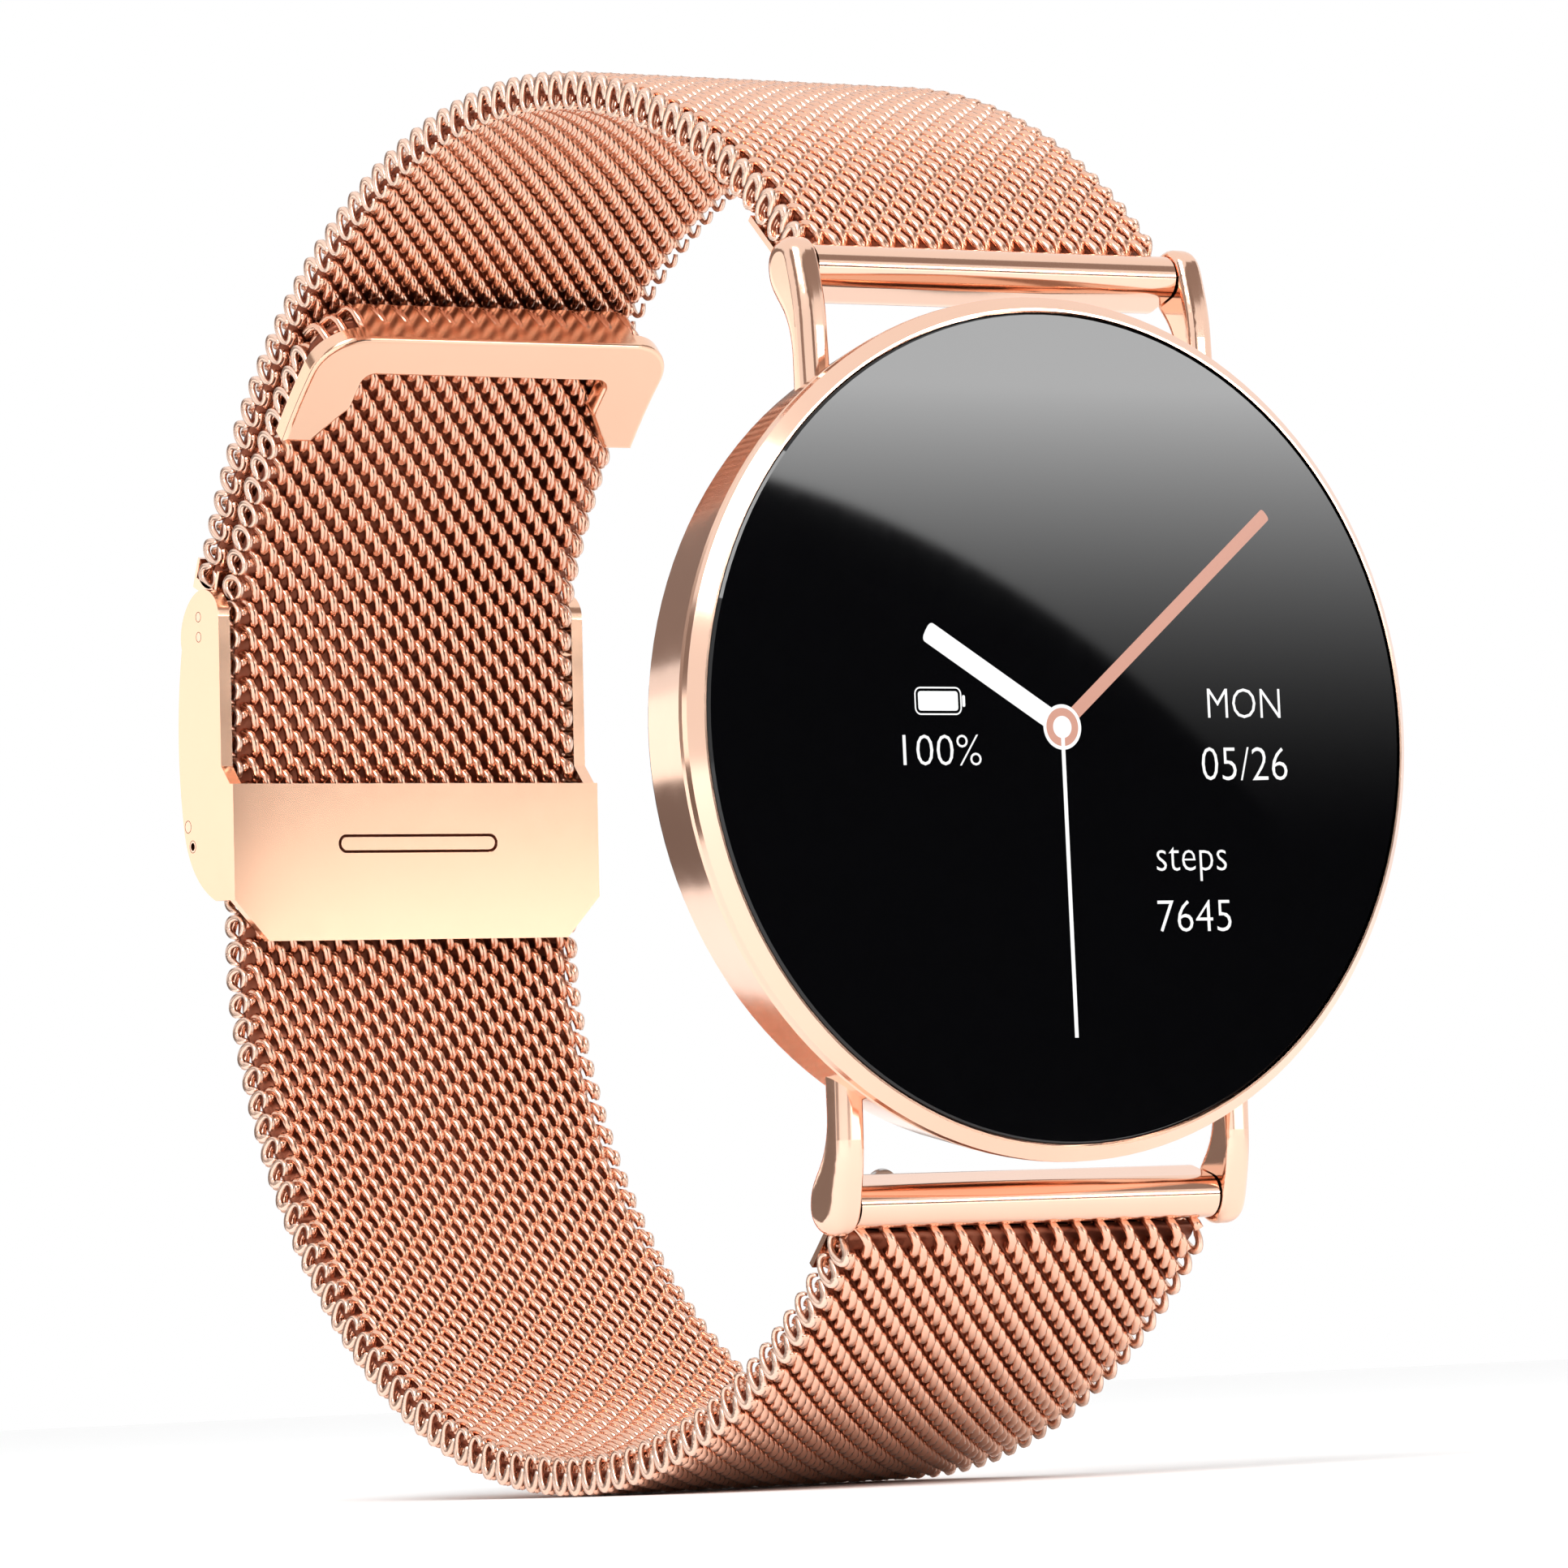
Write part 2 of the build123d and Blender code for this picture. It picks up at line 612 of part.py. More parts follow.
with BuildPart() as hook_bar:
    with BuildSketch(clasp_plane(-cheek_inner + 0.02)):
        with Locations((hook_bar_n, hook_bar_u)):
            SlotOverall(hook_bar_tall, hook_bar_thick, rotation=90)
    extrude(amount=2 * cheek_inner - 0.04)
    for u in tenon_u:
        add(clasp_rod(tenon_radius, -plate_half, plate_half, hook_bar_n, u))
save(hook_bar.part, "hook_bar")
save(clasp_rod(pin_radius, -plate_half, plate_half, hinge_n, hinge_u), "cover_hinge_pin")

with BuildPart() as stop_pin:
    add(clasp_rod(pin_radius, -plate_half, plate_half, stop_n, stop_u))
    for x_from in (-plate_half - 0.1, plate_half - 0.7):
        add(clasp_rod(pin_radius - 0.1, x_from, x_from + 0.8, stop_n, stop_u), mode=Mode.SUBTRACT)
save(stop_pin.part, "stop_pin")

cover_half = cheek_inner - 0.2
cam_reach = 1.75
with BuildPart() as clasp_cover:
    with BuildSketch(clasp_plane(-cover_half)):
        with BuildLine():
            ThreePointArc((hinge_n + 0.3, hinge_u), (outer_n - 0.36, 0.6),
                          (outer_n - 0.75, cover_top))
        trace(line_width=0.6)
        with Locations((hinge_n, hinge_u)):
            Circle(barrel_radius)
    extrude(amount=2 * cover_half)
    with BuildSketch(clasp_plane(-6)):
        with Locations((hinge_n - cam_reach / 2, hinge_u)):
            Rectangle(cam_reach, 0.7)
    extrude(amount=12)
    add(clasp_rod(pin_radius + run_fit, -plate_half, plate_half, hinge_n, hinge_u), mode=Mode.SUBTRACT)
save(clasp_cover.part, "clasp_cover")

# ---- strap hook: grips the mesh end and rests over the hook bar --------------------------------
hook_half = half_width - 0.5
hook_thick = 0.5
hook_clear = 0.16
leg_n = hook_bar_n + hook_bar_thick / 2 + hook_clear + hook_thick / 2
lip_u = hook_bar_u - (hook_bar_tall - hook_bar_thick) / 2
mesh_end = upper_edges[2] @ 1
mesh_way = upper_edges[2] % 1
with BuildPart() as strap_hook:
    with BuildSketch(clasp_plane(-hook_half)):
        with BuildLine():
            Line((leg_n, lip_u), (leg_n, top_u + 0.05))
        trace(line_width=hook_thick)
        with BuildLine():
            JernArc((leg_n, lip_u), (0, -1), leg_n - hook_bar_n, -30)
        trace(line_width=hook_thick)
    extrude(amount=2 * hook_half)
    with BuildSketch(Plane.YZ.offset(-half_width)):
        with BuildLine():
            Line(mesh_end - 1.0 * mesh_way, mesh_end + 0.55 * mesh_way)
        trace(line_width=strap_thick + 0.4)
    extrude(amount=strap_width)
    add(mesh_band([upper_edges[2]], barrel=upper_edges[2] @ 0), mode=Mode.SUBTRACT)
save(strap_hook.part, "strap_hook")
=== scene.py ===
"""The looks of a round smartwatch with a woven-wire strap, built around its CAD frame. Metres throughout."""
import math

import bpy
import numpy as np
from mathutils import Matrix, Vector


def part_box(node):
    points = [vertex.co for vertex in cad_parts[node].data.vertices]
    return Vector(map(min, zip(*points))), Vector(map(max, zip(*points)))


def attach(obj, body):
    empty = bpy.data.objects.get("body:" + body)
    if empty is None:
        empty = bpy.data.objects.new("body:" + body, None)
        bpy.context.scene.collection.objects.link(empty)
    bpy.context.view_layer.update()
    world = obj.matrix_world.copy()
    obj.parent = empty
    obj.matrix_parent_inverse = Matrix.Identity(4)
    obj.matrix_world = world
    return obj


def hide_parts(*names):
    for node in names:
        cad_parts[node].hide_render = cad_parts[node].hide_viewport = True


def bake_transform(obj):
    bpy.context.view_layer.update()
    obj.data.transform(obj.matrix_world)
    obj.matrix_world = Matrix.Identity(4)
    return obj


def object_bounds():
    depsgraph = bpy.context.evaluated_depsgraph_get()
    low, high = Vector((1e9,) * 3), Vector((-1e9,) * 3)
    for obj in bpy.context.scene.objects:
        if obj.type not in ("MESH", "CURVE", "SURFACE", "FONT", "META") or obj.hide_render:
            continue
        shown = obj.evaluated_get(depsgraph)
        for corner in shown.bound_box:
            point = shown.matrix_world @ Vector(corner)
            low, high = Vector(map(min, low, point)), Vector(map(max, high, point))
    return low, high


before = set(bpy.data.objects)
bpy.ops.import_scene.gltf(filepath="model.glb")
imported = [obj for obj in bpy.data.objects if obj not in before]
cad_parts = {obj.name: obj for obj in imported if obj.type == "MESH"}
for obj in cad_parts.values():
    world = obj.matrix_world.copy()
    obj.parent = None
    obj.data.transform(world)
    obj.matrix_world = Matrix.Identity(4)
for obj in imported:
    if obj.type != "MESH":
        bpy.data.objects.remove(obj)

cad_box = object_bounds()
MM = 0.001
TURN = 2 * math.pi


# ---- small helpers ---------------------------------------------------------------------------
def new_object(name, data):
    obj = bpy.data.objects.new(name, data)
    bpy.context.scene.collection.objects.link(obj)
    return obj


def mesh_object(name, vertices, faces, smooth=True, material_index=None):
    """A mesh object from arrays: vertices (n, 3), faces as lists of indices."""
    mesh = bpy.data.meshes.new(name)
    mesh.from_pydata([tuple(v) for v in vertices], [], [tuple(f) for f in faces])
    mesh.polygons.foreach_set("use_smooth", [smooth] * len(mesh.polygons))
    if material_index is not None:
        mesh.polygons.foreach_set("material_index", material_index)
    mesh.update()
    return new_object(name, mesh)


def smooth_by_angle(obj, degrees=35):
    """Smooth faces with sharp edges where the surface turns by more than the angle."""
    mesh = obj.data
    mesh.polygons.foreach_set("use_smooth", [True] * len(mesh.polygons))
    mesh.set_sharp_from_angle(angle=math.radians(degrees))


def hide_from_all_but_reflections(card):
    """The card is only seen in glossy surfaces, and it isn't part of the model."""
    card.visible_camera = False
    card.visible_diffuse = False
    card.visible_shadow = False


# ---- camera ----------------------------------------------------------------------------------
VIEW_AZIMUTH = math.radians(-32.74)
VIEW_ELEVATION = math.radians(-3.82)
VIEW_ROLL = math.radians(-2.57)
VIEW_DISTANCE = 406.5 * MM
AIM_RIGHT = -9.19 * MM
AIM_UP = -1.64 * MM
LENS = 206.2
SENSOR_WIDTH = 36


def place_camera():
    back = Vector((math.sin(VIEW_AZIMUTH) * math.cos(VIEW_ELEVATION),
                   -math.cos(VIEW_AZIMUTH) * math.cos(VIEW_ELEVATION),
                   math.sin(VIEW_ELEVATION)))
    right = Vector((math.cos(VIEW_AZIMUTH), math.sin(VIEW_AZIMUTH), 0))
    up = back.cross(right)
    data = bpy.data.cameras.new("camera")
    data.lens = LENS
    data.sensor_width = SENSOR_WIDTH
    data.clip_start = 0.01
    data.clip_end = 10
    camera = new_object("camera", data)
    turned_right = right * math.cos(VIEW_ROLL) + up * math.sin(VIEW_ROLL)
    turned_up = up * math.cos(VIEW_ROLL) - right * math.sin(VIEW_ROLL)
    place = Matrix((turned_right, turned_up, back)).transposed().to_4x4()
    place.translation = back * VIEW_DISTANCE + right * AIM_RIGHT + up * AIM_UP
    camera.matrix_world = place
    bpy.context.scene.camera = camera


place_camera()


# ---- materials -------------------------------------------------------------------------------
class Nodes:
    """Short names for building one material's nodes."""

    def __init__(self, name):
        self.material = bpy.data.materials.new(name)
        self.material.use_nodes = True
        self.tree = self.material.node_tree
        self.shader = self.tree.nodes["Principled BSDF"]

    def add(self, kind, **values):
        node = self.tree.nodes.new(kind)
        for key, value in values.items():
            if key in node.inputs:
                node.inputs[key].default_value = value
            else:
                setattr(node, key, value)
        return node

    def link(self, output, target):
        self.tree.links.new(output, target)

    def set(self, **values):
        for key, value in values.items():
            self.shader.inputs[key.replace("_", " ")].default_value = value


def noise_value(nodes, scale, detail=3.0):
    """A noise texture in the object's own coordinates; returns its grey output."""
    place = nodes.add("ShaderNodeTexCoord")
    noise = nodes.add("ShaderNodeTexNoise", Scale=scale, Detail=detail)
    nodes.link(place.outputs["Object"], noise.inputs["Vector"])
    return noise.outputs["Fac"]


def ramp(nodes, value, low, high):
    """Maps a grey value to a range of numbers."""
    mapped = nodes.add("ShaderNodeMapRange")
    mapped.inputs["To Min"].default_value = low
    mapped.inputs["To Max"].default_value = high
    nodes.link(value, mapped.inputs["Value"])
    return mapped.outputs["Result"]


def colours(nodes, value, first, second):
    """Maps a grey value to a mix of two colours."""
    mixed = nodes.add("ShaderNodeValToRGB")
    mixed.color_ramp.elements[0].color = (*first, 1)
    mixed.color_ramp.elements[1].color = (*second, 1)
    nodes.link(value, mixed.inputs["Fac"])
    return mixed.outputs["Color"]


def bump(nodes, value, strength, distance):
    made = nodes.add("ShaderNodeBump", Strength=strength, Distance=distance)
    nodes.link(value, made.inputs["Height"])
    nodes.link(made.outputs["Normal"], nodes.shader.inputs["Normal"])


def metal(name, first, second, roughness, grain=900.0, depth=0.000002):
    """Plated metal: colour drifts a little between two tones, and the polish is a little uneven."""
    nodes = Nodes(name)
    nodes.set(Metallic=1.0)
    cloud = noise_value(nodes, 160.0)
    nodes.link(colours(nodes, cloud, first, second), nodes.shader.inputs["Base Color"])
    fine = noise_value(nodes, grain, 5.0)
    nodes.link(ramp(nodes, fine, roughness[0], roughness[1]), nodes.shader.inputs["Roughness"])
    bump(nodes, fine, 0.25, depth)
    return nodes.material


def plain(name, first, second, roughness, grain=1200.0, depth=0.00001, **more):
    """A moulded, printed or coated surface."""
    nodes = Nodes(name)
    nodes.set(**more)
    fine = noise_value(nodes, grain, 4.0)
    nodes.link(colours(nodes, fine, first, second), nodes.shader.inputs["Base Color"])
    nodes.link(ramp(nodes, fine, roughness[0], roughness[1]), nodes.shader.inputs["Roughness"])
    bump(nodes, fine, 0.3, depth)
    return nodes.material


def glowing(name, colour, strength):
    """A lit part of the display."""
    nodes = Nodes(name)
    nodes.set(Emission_Strength=strength, Roughness=0.25)
    nodes.shader.inputs["Base Color"].default_value = (0.01, 0.01, 0.01, 1)
    fine = noise_value(nodes, 4000.0, 1.0)
    tint = tuple(0.96 * c for c in colour)
    nodes.link(colours(nodes, fine, tint, colour), nodes.shader.inputs["Emission Color"])
    return nodes.material


polished = metal("rose_gold_polished", (0.93, 0.60, 0.45), (0.96, 0.64, 0.49), (0.10, 0.16))
satin = metal("rose_gold_satin", (0.97, 0.61, 0.43), (0.98, 0.63, 0.45), (0.16, 0.20),
              depth=0.0000003)
wire = metal("rose_gold_wire", (0.90, 0.52, 0.37), (0.95, 0.58, 0.43), (0.16, 0.24), grain=2500.0)
ground = metal("rose_gold_ground", (0.96, 0.66, 0.52), (0.98, 0.70, 0.56), (0.24, 0.32), grain=3000.0)
# Dark rose gold: painted shade in the sheet inside the strap's coils and in the clasp's stamped groove; also
# the seams round the clasp's pin ends.
shade_and_seam_dark = metal("rose_gold_painted_shade_and_seams", (0.16, 0.045, 0.025), (0.42, 0.15, 0.09), (0.4, 0.6), grain=3500.0,
             depth=0.00012)
steel = metal("plain_steel", (0.50, 0.49, 0.48), (0.58, 0.57, 0.56), (0.2, 0.3))
gold = metal("gold_contact", (0.86, 0.64, 0.27), (0.92, 0.70, 0.33), (0.15, 0.22))
foil = metal("battery_foil", (0.62, 0.63, 0.65), (0.70, 0.71, 0.73), (0.25, 0.4), depth=0.00002)
black_glass = plain("black_glass", (0.0015, 0.0015, 0.0018), (0.002, 0.002, 0.0024), (0.02, 0.03),
                    depth=0.0, IOR=1.5)
dark_glass = plain("sensor_glass", (0.004, 0.004, 0.008), (0.006, 0.006, 0.012), (0.03, 0.05),
                   depth=0.0, IOR=1.5)
black_plastic = plain("black_plastic", (0.012, 0.012, 0.014), (0.02, 0.02, 0.022), (0.35, 0.5))
rubber = plain("seal_rubber", (0.01, 0.01, 0.01), (0.016, 0.016, 0.016), (0.7, 0.85))
board = plain("board_green", (0.01, 0.10, 0.05), (0.02, 0.14, 0.07), (0.3, 0.45))
white_light = glowing("display_white", (1.0, 1.0, 1.0), 1.0)
rose_light = glowing("display_rose", (0.66, 0.30, 0.21), 1.0)

NODE_LOOKS = {
    "case_middle": polished, "bezel_ring": polished, "cover_glass": black_glass,
    "display_panel": black_plastic, "glass_seal": rubber, "main_board": board, "battery": foil,
    "vibration_motor": steel, "button_switch": black_plastic, "sensor_window": dark_glass,
    "sensor_board": board, "case_back": black_plastic, "back_gasket": rubber,
    "charging_contacts": gold, "case_screws": steel,
    "side_button": polished, "upper_end_tube": polished, "lower_end_tube": polished,
    "upper_spring_bar": steel, "lower_spring_bar": steel, "upper_release_pin": steel,
    "lower_release_pin": steel, "strap_hook": polished, "strap_tip": satin, "clasp_frame": satin,
    "hook_bar": polished, "cover_hinge_pin": polished, "stop_pin": polished, "clasp_cover": satin,
}
for node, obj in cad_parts.items():
    look = NODE_LOOKS.get(node, wire)
    obj.data.materials.clear()
    obj.data.materials.append(look)


# ---- strap paths -----------------------------------------------------------------------------
class Path:
    """A run of arcs and straights on the plane X = 0, measured from the end tube."""

    def __init__(self, start, heading, steps, outward):
        self.outward = outward  # +1 where the outer face is on the left of the path, -1 on the right
        self.pieces = []
        point = np.array(start, float) * MM
        angle = math.radians(heading)
        at = 0.0
        for radius, amount in steps:
            curve = 0.0 if radius is None else math.copysign(1 / (radius * MM), amount)
            length = amount * MM if radius is None else radius * MM * math.radians(abs(amount))
            self.pieces.append((at, point, angle, curve, length))
            point, angle = self.step(point, angle, curve, length)
            at += length
        self.length = at

    @staticmethod
    def step(point, angle, curve, length):
        if curve == 0:
            return point + length * np.array((math.cos(angle), math.sin(angle))), angle
        turned = angle + curve * length
        shift = np.array((math.sin(turned) - math.sin(angle), math.cos(angle) - math.cos(turned)))
        return point + shift / curve, turned

    def at(self, s):
        """Point, direction and outward normal (3-D) at a length along the path."""
        for from_s, point, angle, curve, length in reversed(self.pieces):
            if from_s == 0 and s < 0:
                place, turned = self.step(point, angle, 0, s)
                break
            if s >= from_s or from_s == 0:
                place, turned = self.step(point, angle, curve, s - from_s)
                break
        along = np.array((0, math.cos(turned), math.sin(turned)))
        out = self.outward * np.array((0, -math.sin(turned), math.cos(turned)))
        return np.array((0, place[0], place[1])), along, out


# Each step is a radius in millimetres and a turn in degrees; a straight has no radius, only a length.
upper_path = Path((0.25, 23.06), 43.25, [(33.9, -108.9)], 1)
FRONT_BEND, REAR_BEND, RISE_BEND = (33.6, 55.25), (30.0, 65.95), (12.0, 16.5)
CLASP_RUN, TUCK_BEND, TAIL_BEND = (None, 15.35), (10.0, 24.5), (31.5, 27.0)
lower_path = Path((-0.93, -22.64), -45.2,
                  [FRONT_BEND, REAR_BEND, RISE_BEND, CLASP_RUN, TUCK_BEND, TAIL_BEND], -1)


def arc_length(bend):
    return bend[0] * MM * math.radians(bend[1])


# ---- woven wire ------------------------------------------------------------------------------
HALF_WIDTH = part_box("upper_mesh_2")[1].x
ACROSS = np.array((1.0, 0, 0))
ROW = 0.65 * MM  # rows of coils along the strap
PITCH = 1.29 * MM  # one turn of a coil across the strap
WIRE = 0.225 * MM
BLUNT = 0.66  # below 1 the oval section of a coil gets flatter sides
COIL_LONG = 0.58 * MM  # half size of a coil along the strap, to the wire's middle
COIL_TALL = 0.95 * MM - WIRE
STEPS = 12  # per turn
SIDES = 8
ODD_ROW_INSET = 2.2  # in wire radii: odd rows stop short of the ground ends
RING_STEPS = 22
RING_GAP = math.radians(26)
RING_START = math.radians(205)
RING_LONG, RING_TALL = 0.64, 0.935  # half sizes along the strap and through it, in millimetres
RING_EDGE = 0.04 * MM  # bevel on the ground face
RING_THICK = 0.2 * MM
SHADE_SHEET_HALF = 0.16 * MM  # a thin dark sheet inside the coils, painted shade between the wires
SHADE_SHEET_NOTCH = 0.7  # the band is this much thinner between rows
SHADE_SHEET_MARGIN = 0.35 * MM


class Soup:
    """Vertices, faces and material numbers that are collected into one mesh."""

    def __init__(self):
        self.vertices, self.faces, self.marks, self.count = [], [], [], 0

    def grid(self, rings, mark, closed=False):
        """Rings of points, each joined to the next; open ends get caps."""
        rings = np.asarray(rings)
        n, k, _ = rings.shape
        base = self.count
        self.vertices.append(rings.reshape(-1, 3))
        self.count += n * k
        i = np.arange(n if closed else n - 1)[:, None]
        j = np.arange(k)[None, :]
        nxt, here = (i + 1) % n, i
        quads = np.stack([here * k + j, here * k + (j + 1) % k, nxt * k + (j + 1) % k, nxt * k + j], -1)
        self.faces.extend((quads.reshape(-1, 4) + base).tolist())
        self.marks.extend([mark] * (quads.size // 4))
        if not closed:
            self.faces.append(list(range(base + k - 1, base - 1, -1)))
            self.faces.append(list(range(base + (n - 1) * k, base + n * k)))
            self.marks.extend([mark, mark])

    def build(self, name, materials):
        obj = mesh_object(name, np.concatenate(self.vertices), self.faces, True, self.marks)
        for material in materials:
            obj.data.materials.append(material)
        return obj


def coil(soup, place, along, out, hand, odd, half):
    """One row: a wire wound round an oval as it crosses the strap."""
    reach = half - WIRE * (ODD_ROW_INSET if odd else 1)
    shift = PITCH / 2 if odd else 0.0
    count = int(round(2 * reach / PITCH * STEPS)) + 1
    x = np.linspace(-reach, reach, count)[:, None]
    turn = hand * TURN * (x - shift) / PITCH
    c = np.sign(np.cos(turn)) * np.abs(np.cos(turn)) ** BLUNT
    s = np.sign(np.sin(turn)) * np.abs(np.sin(turn)) ** BLUNT
    centre = place + along * COIL_LONG * c + out * COIL_TALL * s + ACROSS * x
    tangent = np.gradient(centre, axis=0)
    tangent /= np.linalg.norm(tangent, axis=1)[:, None]
    first = along * COIL_TALL * c + out * COIL_LONG * s
    first -= tangent * np.sum(first * tangent, axis=1)[:, None]
    first /= np.linalg.norm(first, axis=1)[:, None]
    second = np.cross(tangent, first)
    around = np.arange(SIDES) * TURN / SIDES
    rings = (centre[:, None, :] + WIRE * (np.cos(around)[None, :, None] * first[:, None, :]
                                          + np.sin(around)[None, :, None] * second[:, None, :]))
    soup.grid(rings, 0)


def edge_ring(soup, place, along, out, x_out, x_in):
    """The flat ground end of a row: an open oval ring on the strap's edge."""
    angles = RING_START + RING_GAP / 2 + np.linspace(0, TURN - RING_GAP, RING_STEPS)
    rings = []
    for i, angle in enumerate(angles):
        end = min(i, RING_STEPS - 1 - i)
        band = (0.33 + 0.10 * math.sin(angle)) * MM * min(1.0, 0.55 + 0.25 * end)
        outer = np.array((RING_LONG * math.cos(angle), RING_TALL * math.sin(angle))) * MM
        inner = outer * (1 - band / np.linalg.norm(outer))
        shrink = RING_EDGE / np.linalg.norm(outer)
        corner = []
        for flat, x in ((outer * (1 - shrink), x_out), (inner * (1 + shrink), x_out),
                        (inner, x_in), (outer, x_in)):
            corner.append(place + along * flat[0] + out * flat[1] + ACROSS * x)
        rings.append(corner if x_out > x_in else corner[::-1])
    soup.grid(rings, 1)


def corner_inset(corner, to_end):
    """How far the strap's edge is drawn in by a rounded corner, at a distance from the strap's end."""
    missing = max(0.0, corner - to_end)
    return corner - math.sqrt(corner ** 2 - missing ** 2)


def weave(name, path, hand, s_from, s_to, materials, corner=0.0):
    """A length of strap: rows of coils, their ground ends, and a thin dark sheet inside them that is painted
    shade between the coils.
    """
    soup = Soup()
    first = int(round(s_from / ROW))
    last = int(round(s_to / ROW))
    for row in range(first, last):
        place, along, out = path.at((row + 0.5) * ROW)
        odd = row % 2 == 1
        to_end = (last - row - 0.5) * ROW
        coil(soup, place, along, out, hand, odd, HALF_WIDTH - corner_inset(corner, to_end))
        if not odd and to_end >= corner:
            for end in (-1, 1):
                edge_ring(soup, place, along, out, end * HALF_WIDTH, end * (HALF_WIDTH - RING_THICK))
    # The dark sheet inside the coils is painted shade: it stands in for the shade that falls between the
    # wires.
    shade_sheet = []
    for step in range(2 * (last - first) + 1):
        place, along, out = path.at((first + step / 2) * ROW)
        thick = SHADE_SHEET_HALF * (SHADE_SHEET_NOTCH if step % 2 else 1.0)
        inset = corner_inset(corner, (last - first - step / 2) * ROW)
        side = ACROSS * (HALF_WIDTH - SHADE_SHEET_MARGIN - inset)
        shade_sheet.append([place - side - out * thick, place + side - out * thick,
                     place + side + out * thick, place - side + out * thick])
    soup.grid(shade_sheet, 2)
    return soup.build(name, materials)


U = upper_path.length
UPPER_SPLIT = (0.255, 0.625)  # where the upper strap flexes, as parts of its length
UPPER_LEAD = 2.0 * MM  # the weave reaches this far into the end tube's tab
LOWER_LEAD = 0.9 * MM
UPPER_STOP = 0.2 * MM  # and stops this far short of the CAD strap's end
LOWER_STOP = 0.3 * MM
TAIL_CORNER = 2.2 * MM
mid_upper = U * (UPPER_SPLIT[0] + UPPER_SPLIT[1]) / 2
strap_looks = [wire, ground, shade_and_seam_dark]
piece = weave("upper_strap_front", upper_path, 1, -UPPER_LEAD, mid_upper, strap_looks)
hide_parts("upper_mesh_1")


def bend_over(obj, path, s, spread=4.5 * MM):
    """Bakes a strap piece's placement into its mesh; the path points either side of the flexing place are
    found but not used, so the piece is not bent.
    """
    start = path.at(s - spread)[0]
    end = path.at(s + spread)[0]
    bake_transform(obj)


bend_over(piece, upper_path, U * UPPER_SPLIT[0])
piece = weave("upper_strap_rear", upper_path, 1, mid_upper, U - UPPER_STOP, strap_looks)
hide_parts("upper_mesh_2", "upper_mesh_3")
bend_over(piece, upper_path, U * UPPER_SPLIT[1])

REAR_END = arc_length(FRONT_BEND) + arc_length(REAR_BEND)
RUN_START = REAR_END + arc_length(RISE_BEND)
TAIL_START = RUN_START + CLASP_RUN[1] * MM + arc_length(TUCK_BEND)
flex_at = [arc_length(FRONT_BEND) * 0.5, arc_length(FRONT_BEND) + arc_length(REAR_BEND) * 0.36,
           REAR_END, TAIL_START]
cuts = [(a + b) / 2 for a, b in zip(flex_at, flex_at[1:])]
cuts = [-LOWER_LEAD] + cuts + [lower_path.length - LOWER_STOP]
for i, at in enumerate(flex_at):
    is_last = i == len(flex_at) - 1
    piece = weave(f"lower_strap_{i + 1}", lower_path, -1, cuts[i], cuts[i + 1], strap_looks,
                  TAIL_CORNER if is_last else 0.0)
    nodes_here = [f"lower_mesh_{i + 1}"] + (["lower_mesh_5"] if is_last else [])
    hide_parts(*nodes_here)
    bend_over(piece, lower_path, at)

# ---- glass and what the display shows ----------------------------------------------------------
glass_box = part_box("cover_glass")
GLASS_RADIUS = glass_box[1].x
GLASS_FRONT = glass_box[0].y
INLAY = 0.005 * MM  # one step of depth: the marks lie one to three steps behind the CAD glass's front
GLASS_STEPS = 4  # the visible glass lies this many steps behind it, so that the marks are in front
GLASS_CENTRE = 0.001 * MM  # radius of the tiny cap that closes the glass in the middle
GLASS_GAP = 0.03 * MM
GLASS_BEVEL_WIDE = 0.16 * MM
GLASS_BEVEL_DEEP = 0.12 * MM


def make_glass():
    """The cover glass with a fine bevel, as a turned profile."""
    turns = 128
    front, back = GLASS_FRONT + GLASS_STEPS * INLAY, glass_box[1].y
    rim = GLASS_RADIUS - GLASS_GAP
    profile = ((front, GLASS_CENTRE), (front, GLASS_RADIUS - GLASS_BEVEL_WIDE),
               (front + GLASS_BEVEL_DEEP, rim), (back, rim), (back, GLASS_CENTRE))
    soup = Soup()
    rings = []
    for y, radius in profile:
        rings.append([(radius * math.sin(TURN * i / turns), y, radius * math.cos(TURN * i / turns))
                      for i in range(turns)])
    soup.grid(rings, 0)
    glass = soup.build("watch_glass", [black_glass])
    smooth_by_angle(glass)
    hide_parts("cover_glass")
    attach(glass, "head")


def outline_mark(soup, points, depth=0):
    """A flat mark from (x, z) points in millimetres; a higher depth number lies nearer the front."""
    y = GLASS_FRONT + (GLASS_STEPS - 1 - depth) * INLAY
    base = soup.count
    soup.vertices.append(np.array([(x * MM, y, z * MM) for x, z in points]))
    soup.count += len(points)
    soup.faces.append(list(range(base, base + len(points))))
    soup.marks.append(0)


def bar_mark(soup, start, end, width, depth=0, round_end=True):
    """A straight hand, with a softly rounded far end if asked for."""
    way = np.array(end) - np.array(start)
    length = np.linalg.norm(way)
    way = way / length
    across = np.array((-way[1], way[0]))
    half = width / 2
    far = []
    for i in range(9):
        turn = -math.pi / 2 + math.pi * i / 8
        reach = 0.45 * half if round_end else 0.0
        far.append(np.array(end) + way * (reach * math.cos(turn) - reach)
                   + across * (half * math.copysign(abs(math.sin(turn)) ** 0.6, turn)))
    outline_mark(soup, [np.array(start) - across * half] + far + [np.array(start) + across * half], depth)


